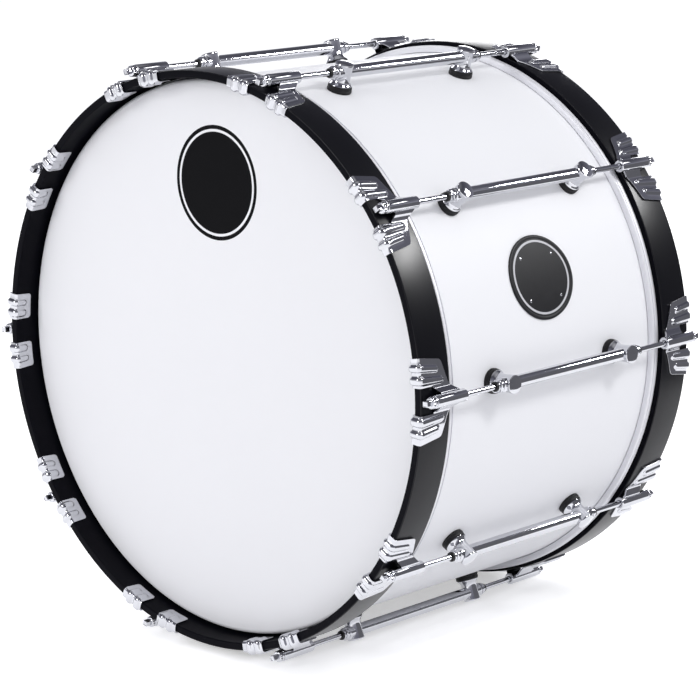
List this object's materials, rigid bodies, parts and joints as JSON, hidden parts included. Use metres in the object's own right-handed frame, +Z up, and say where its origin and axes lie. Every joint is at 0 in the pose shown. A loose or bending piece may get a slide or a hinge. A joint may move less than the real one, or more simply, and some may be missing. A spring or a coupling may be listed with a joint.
{
  "type": "marching bass drum",
  "caption": "Marching bass drum: wooden shell between two white heads, held by black hoops, chromed double claws, tension rods and tube lugs.",
  "frame": {"origin": "on the floor under the middle of the drum, at the centre of its footprint's box", "axes": "+Z up, Y along the drum's axis with the front head towards -Y, +X to the right seen from the front, through the lug at three o'clock"},
  "size_m": [0.616, 0.4176, 0.5911],
  "materials": {
    "shell_lacquer": "gloss white",
    "hoop_lacquer": "gloss black",
    "head_film": "satin white",
    "flesh_hoop": "satin",
    "chrome": "polished",
    "badge": "gloss black"
  },
  "bodies": {
    "drum_shell": {"shell": "shell_lacquer", "badge_plate": "badge", "tube_lug_01": "chrome", "tube_lug_02": "chrome", "tube_lug_03": "chrome", "tube_lug_04": "chrome", "tube_lug_05": "chrome", "tube_lug_06": "chrome", "tube_lug_07": "chrome", "tube_lug_08": "chrome", "tube_lug_09": "chrome", "tube_lug_10": "chrome"},
    "front_end": {"front_head": "head_film", "front_flesh_hoop": "flesh_hoop", "front_hoop": "hoop_lacquer", "claw_front_01": "chrome", "claw_front_02": "chrome", "claw_front_03": "chrome", "claw_front_04": "chrome", "claw_front_05": "chrome", "claw_front_06": "chrome", "claw_front_07": "chrome", "claw_front_08": "chrome", "claw_front_09": "chrome", "claw_front_10": "chrome"},
    "rear_end": {"rear_head": "head_film", "rear_flesh_hoop": "flesh_hoop", "rear_hoop": "hoop_lacquer", "claw_rear_01": "chrome", "claw_rear_02": "chrome", "claw_rear_03": "chrome", "claw_rear_04": "chrome", "claw_rear_05": "chrome", "claw_rear_06": "chrome", "claw_rear_07": "chrome", "claw_rear_08": "chrome", "claw_rear_09": "chrome", "claw_rear_10": "chrome"},
    "rod_front_01": {"rod_front_01": "chrome"},
    "rod_front_02": {"rod_front_02": "chrome"},
    "rod_front_03": {"rod_front_03": "chrome"},
    "rod_front_04": {"rod_front_04": "chrome"},
    "rod_front_05": {"rod_front_05": "chrome"},
    "rod_front_06": {"rod_front_06": "chrome"},
    "rod_front_07": {"rod_front_07": "chrome"},
    "rod_front_08": {"rod_front_08": "chrome"},
    "rod_front_09": {"rod_front_09": "chrome"},
    "rod_front_10": {"rod_front_10": "chrome"},
    "rod_rear_01": {"rod_rear_01": "chrome"},
    "rod_rear_02": {"rod_rear_02": "chrome"},
    "rod_rear_03": {"rod_rear_03": "chrome"},
    "rod_rear_04": {"rod_rear_04": "chrome"},
    "rod_rear_05": {"rod_rear_05": "chrome"},
    "rod_rear_06": {"rod_rear_06": "chrome"},
    "rod_rear_07": {"rod_rear_07": "chrome"},
    "rod_rear_08": {"rod_rear_08": "chrome"},
    "rod_rear_09": {"rod_rear_09": "chrome"},
    "rod_rear_10": {"rod_rear_10": "chrome"}
  },
  "joints": [
    {"name": "front_hoop_slack", "type": "slide", "parent": "drum_shell", "child": "front_end", "axis": [0, -1, 0], "range_m": [0, 0.012]},
    {"name": "rear_hoop_slack", "type": "slide", "parent": "drum_shell", "child": "rear_end", "axis": [0, 1, 0], "range_m": [0, 0.012]},
    {"name": "rod_front_01_turn", "type": "hinge", "parent": "front_end", "child": "rod_front_01", "pos_m": [0.298, -0.15, 0.29555], "axis": [0, -1, 0], "range_deg": [0, 4084]},
    {"name": "rod_front_02_turn", "type": "hinge", "parent": "front_end", "child": "rod_front_02", "pos_m": [0.24109, -0.15, 0.47071], "axis": [0, -1, 0], "range_deg": [0, 4084]},
    {"name": "rod_front_03_turn", "type": "hinge", "parent": "front_end", "child": "rod_front_03", "pos_m": [0.09209, -0.15, 0.57897], "axis": [0, -1, 0], "range_deg": [0, 4084]},
    {"name": "rod_front_04_turn", "type": "hinge", "parent": "front_end", "child": "rod_front_04", "pos_m": [-0.09209, -0.15, 0.57897], "axis": [0, -1, 0], "range_deg": [0, 4084]},
    {"name": "rod_front_05_turn", "type": "hinge", "parent": "front_end", "child": "rod_front_05", "pos_m": [-0.24109, -0.15, 0.47071], "axis": [0, -1, 0], "range_deg": [0, 4084]},
    {"name": "rod_front_06_turn", "type": "hinge", "parent": "front_end", "child": "rod_front_06", "pos_m": [-0.298, -0.15, 0.29555], "axis": [0, -1, 0], "range_deg": [0, 4084]},
    {"name": "rod_front_07_turn", "type": "hinge", "parent": "front_end", "child": "rod_front_07", "pos_m": [-0.24109, -0.15, 0.12039], "axis": [0, -1, 0], "range_deg": [0, 4084]},
    {"name": "rod_front_08_turn", "type": "hinge", "parent": "front_end", "child": "rod_front_08", "pos_m": [-0.09209, -0.15, 0.01214], "axis": [0, -1, 0], "range_deg": [0, 4084]},
    {"name": "rod_front_09_turn", "type": "hinge", "parent": "front_end", "child": "rod_front_09", "pos_m": [0.09209, -0.15, 0.01214], "axis": [0, -1, 0], "range_deg": [0, 4084]},
    {"name": "rod_front_10_turn", "type": "hinge", "parent": "front_end", "child": "rod_front_10", "pos_m": [0.24109, -0.15, 0.12039], "axis": [0, -1, 0], "range_deg": [0, 4084]},
    {"name": "rod_rear_01_turn", "type": "hinge", "parent": "rear_end", "child": "rod_rear_01", "pos_m": [0.298, 0.15, 0.29555], "axis": [0, 1, 0], "range_deg": [0, 4084]},
    {"name": "rod_rear_02_turn", "type": "hinge", "parent": "rear_end", "child": "rod_rear_02", "pos_m": [0.24109, 0.15, 0.47071], "axis": [0, 1, 0], "range_deg": [0, 4084]},
    {"name": "rod_rear_03_turn", "type": "hinge", "parent": "rear_end", "child": "rod_rear_03", "pos_m": [0.09209, 0.15, 0.57897], "axis": [0, 1, 0], "range_deg": [0, 4084]},
    {"name": "rod_rear_04_turn", "type": "hinge", "parent": "rear_end", "child": "rod_rear_04", "pos_m": [-0.09209, 0.15, 0.57897], "axis": [0, 1, 0], "range_deg": [0, 4084]},
    {"name": "rod_rear_05_turn", "type": "hinge", "parent": "rear_end", "child": "rod_rear_05", "pos_m": [-0.24109, 0.15, 0.47071], "axis": [0, 1, 0], "range_deg": [0, 4084]},
    {"name": "rod_rear_06_turn", "type": "hinge", "parent": "rear_end", "child": "rod_rear_06", "pos_m": [-0.298, 0.15, 0.29555], "axis": [0, 1, 0], "range_deg": [0, 4084]},
    {"name": "rod_rear_07_turn", "type": "hinge", "parent": "rear_end", "child": "rod_rear_07", "pos_m": [-0.24109, 0.15, 0.12039], "axis": [0, 1, 0], "range_deg": [0, 4084]},
    {"name": "rod_rear_08_turn", "type": "hinge", "parent": "rear_end", "child": "rod_rear_08", "pos_m": [-0.09209, 0.15, 0.01214], "axis": [0, 1, 0], "range_deg": [0, 4084]},
    {"name": "rod_rear_09_turn", "type": "hinge", "parent": "rear_end", "child": "rod_rear_09", "pos_m": [0.09209, 0.15, 0.01214], "axis": [0, 1, 0], "range_deg": [0, 4084]},
    {"name": "rod_rear_10_turn", "type": "hinge", "parent": "rear_end", "child": "rod_rear_10", "pos_m": [0.24109, 0.15, 0.12039], "axis": [0, 1, 0], "range_deg": [0, 4084]}
  ],
  "couplings": [
    {"joint": "rod_front_01_turn", "follows": "front_hoop_slack", "rad_per_m": 5936.9},
    {"joint": "rod_front_02_turn", "follows": "front_hoop_slack", "rad_per_m": 5936.9},
    {"joint": "rod_front_03_turn", "follows": "front_hoop_slack", "rad_per_m": 5936.9},
    {"joint": "rod_front_04_turn", "follows": "front_hoop_slack", "rad_per_m": 5936.9},
    {"joint": "rod_front_05_turn", "follows": "front_hoop_slack", "rad_per_m": 5936.9},
    {"joint": "rod_front_06_turn", "follows": "front_hoop_slack", "rad_per_m": 5936.9},
    {"joint": "rod_front_07_turn", "follows": "front_hoop_slack", "rad_per_m": 5936.9},
    {"joint": "rod_front_08_turn", "follows": "front_hoop_slack", "rad_per_m": 5936.9},
    {"joint": "rod_front_09_turn", "follows": "front_hoop_slack", "rad_per_m": 5936.9},
    {"joint": "rod_front_10_turn", "follows": "front_hoop_slack", "rad_per_m": 5936.9},
    {"joint": "rod_rear_01_turn", "follows": "rear_hoop_slack", "rad_per_m": 5936.9},
    {"joint": "rod_rear_02_turn", "follows": "rear_hoop_slack", "rad_per_m": 5936.9},
    {"joint": "rod_rear_03_turn", "follows": "rear_hoop_slack", "rad_per_m": 5936.9},
    {"joint": "rod_rear_04_turn", "follows": "rear_hoop_slack", "rad_per_m": 5936.9},
    {"joint": "rod_rear_05_turn", "follows": "rear_hoop_slack", "rad_per_m": 5936.9},
    {"joint": "rod_rear_06_turn", "follows": "rear_hoop_slack", "rad_per_m": 5936.9},
    {"joint": "rod_rear_07_turn", "follows": "rear_hoop_slack", "rad_per_m": 5936.9},
    {"joint": "rod_rear_08_turn", "follows": "rear_hoop_slack", "rad_per_m": 5936.9},
    {"joint": "rod_rear_09_turn", "follows": "rear_hoop_slack", "rad_per_m": 5936.9},
    {"joint": "rod_rear_10_turn", "follows": "rear_hoop_slack", "rad_per_m": 5936.9}
  ]
}
